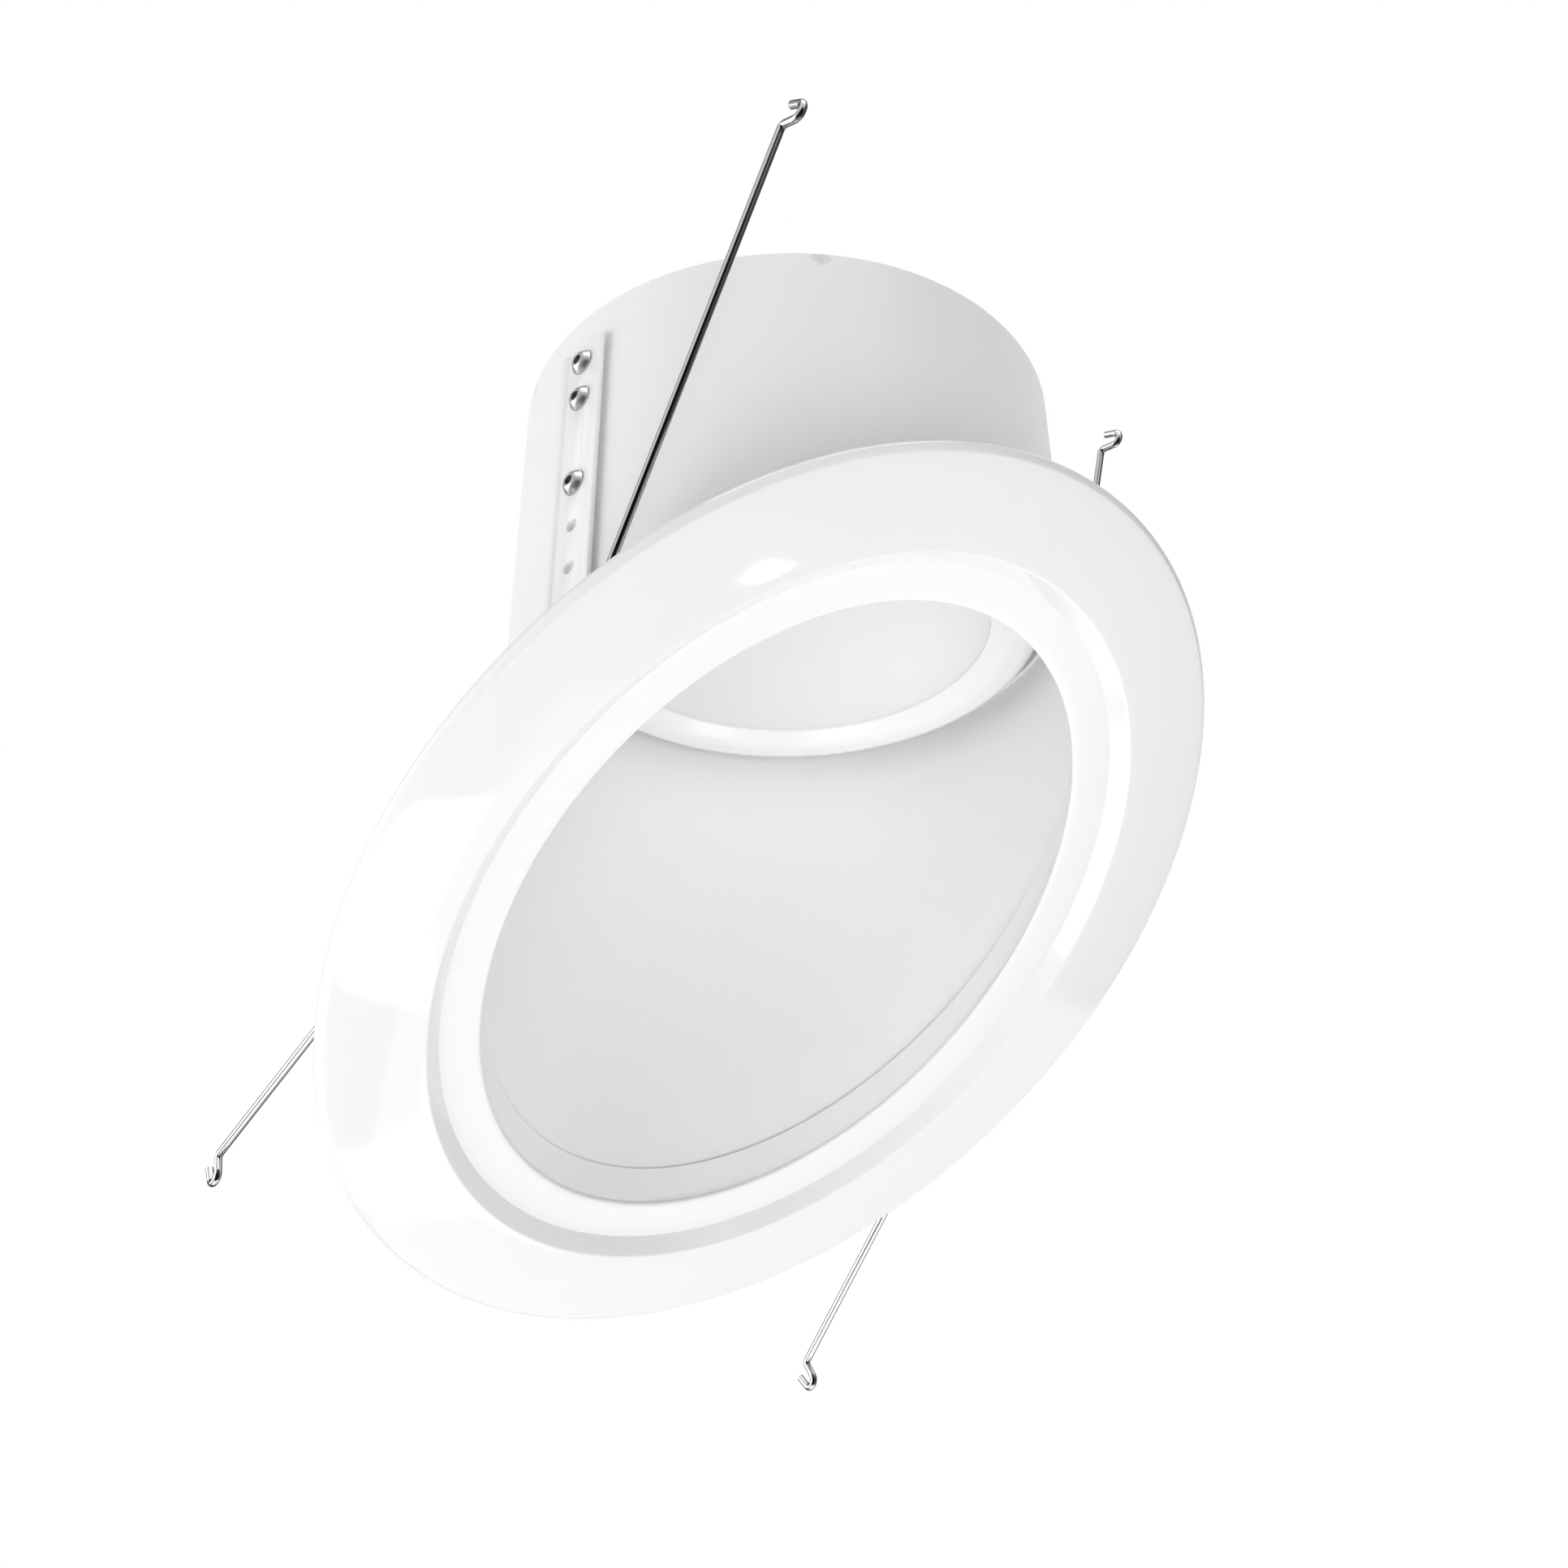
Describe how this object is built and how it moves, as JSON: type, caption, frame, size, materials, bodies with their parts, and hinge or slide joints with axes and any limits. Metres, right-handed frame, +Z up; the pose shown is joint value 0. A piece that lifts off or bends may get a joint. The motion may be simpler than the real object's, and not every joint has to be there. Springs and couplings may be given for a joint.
{
  "type": "led_retrofit_downlight",
  "caption": "Recessed LED retrofit downlight for a sloped ceiling: round can on an oval trim, dropped lens module, strap-held torsion springs.",
  "frame": {"origin": "where the can's vertical axis meets the ceiling plane, which is the plane of the flange's back", "axes": "+Z up along the can's axis, the ceiling slopes down towards +Y by 37 degrees, +X across the slope"},
  "size_m": [0.2014, 0.2152, 0.2345],
  "materials": {
    "white_paint": "satin powder coat",
    "gloss_white": "gloss",
    "frosted_lens": "frosted diffuser",
    "spring_chrome": "bright plated wire",
    "zinc_steel": "zinc plated",
    "grey_foam": "closed-cell foam",
    "grey_rubber": "matte",
    "cast_aluminium": "die cast",
    "driver_plastic": "fine grain",
    "board_white": "solder mask",
    "chip_yellow": "phosphor"
  },
  "bodies": {
    "light": {"oval_trim": "gloss_white", "collar_ring": "white_paint", "foam_gasket": "grey_foam", "can_shell": "white_paint", "top_cap": "white_paint", "cord_inlet": "grey_rubber", "mounting_pan": "white_paint", "module_bezel": "gloss_white", "module_lens": "frosted_lens", "led_board": "board_white", "led_chips": "chip_yellow", "heat_sink": "cast_aluminium", "driver_case": "driver_plastic", "trim_screw_1": "zinc_steel", "trim_screw_2": "zinc_steel", "trim_screw_3": "zinc_steel", "trim_screw_4": "zinc_steel", "left_strap": "white_paint", "left_strap_screw_1": "zinc_steel", "left_strap_screw_2": "zinc_steel", "left_strap_screw_3": "zinc_steel", "left_spring_post": "zinc_steel", "right_strap": "white_paint", "right_strap_screw_1": "zinc_steel", "right_strap_screw_2": "zinc_steel", "right_strap_screw_3": "zinc_steel", "right_spring_post": "zinc_steel"},
    "left_spring_upper": {"left_spring_upper": "spring_chrome"},
    "left_spring_lower": {"left_spring_lower": "spring_chrome"},
    "right_spring_upper": {"right_spring_upper": "spring_chrome"},
    "right_spring_lower": {"right_spring_lower": "spring_chrome"}
  },
  "joints": [
    {"name": "left_spring_swing", "type": "hinge", "parent": "light", "child": "left_spring_upper", "pos_m": [-0.07495, -0.0044, 0.02], "axis": [1, 0, 0], "range_deg": [-14, 24]},
    {"name": "left_spring_squeeze", "type": "hinge", "parent": "left_spring_upper", "child": "left_spring_lower", "pos_m": [-0.07495, -0.0044, 0.02], "axis": [1, 0, 0], "range_deg": [0, 130], "stiffness_Nm_per_rad": 0.15},
    {"name": "right_spring_swing", "type": "hinge", "parent": "light", "child": "right_spring_upper", "pos_m": [0.07495, -0.0044, 0.02], "axis": [1, 0, 0], "range_deg": [0, 30]},
    {"name": "right_spring_squeeze", "type": "hinge", "parent": "right_spring_upper", "child": "right_spring_lower", "pos_m": [0.07495, -0.0044, 0.02], "axis": [1, 0, 0], "range_deg": [0, 130], "stiffness_Nm_per_rad": 0.15}
  ]
}
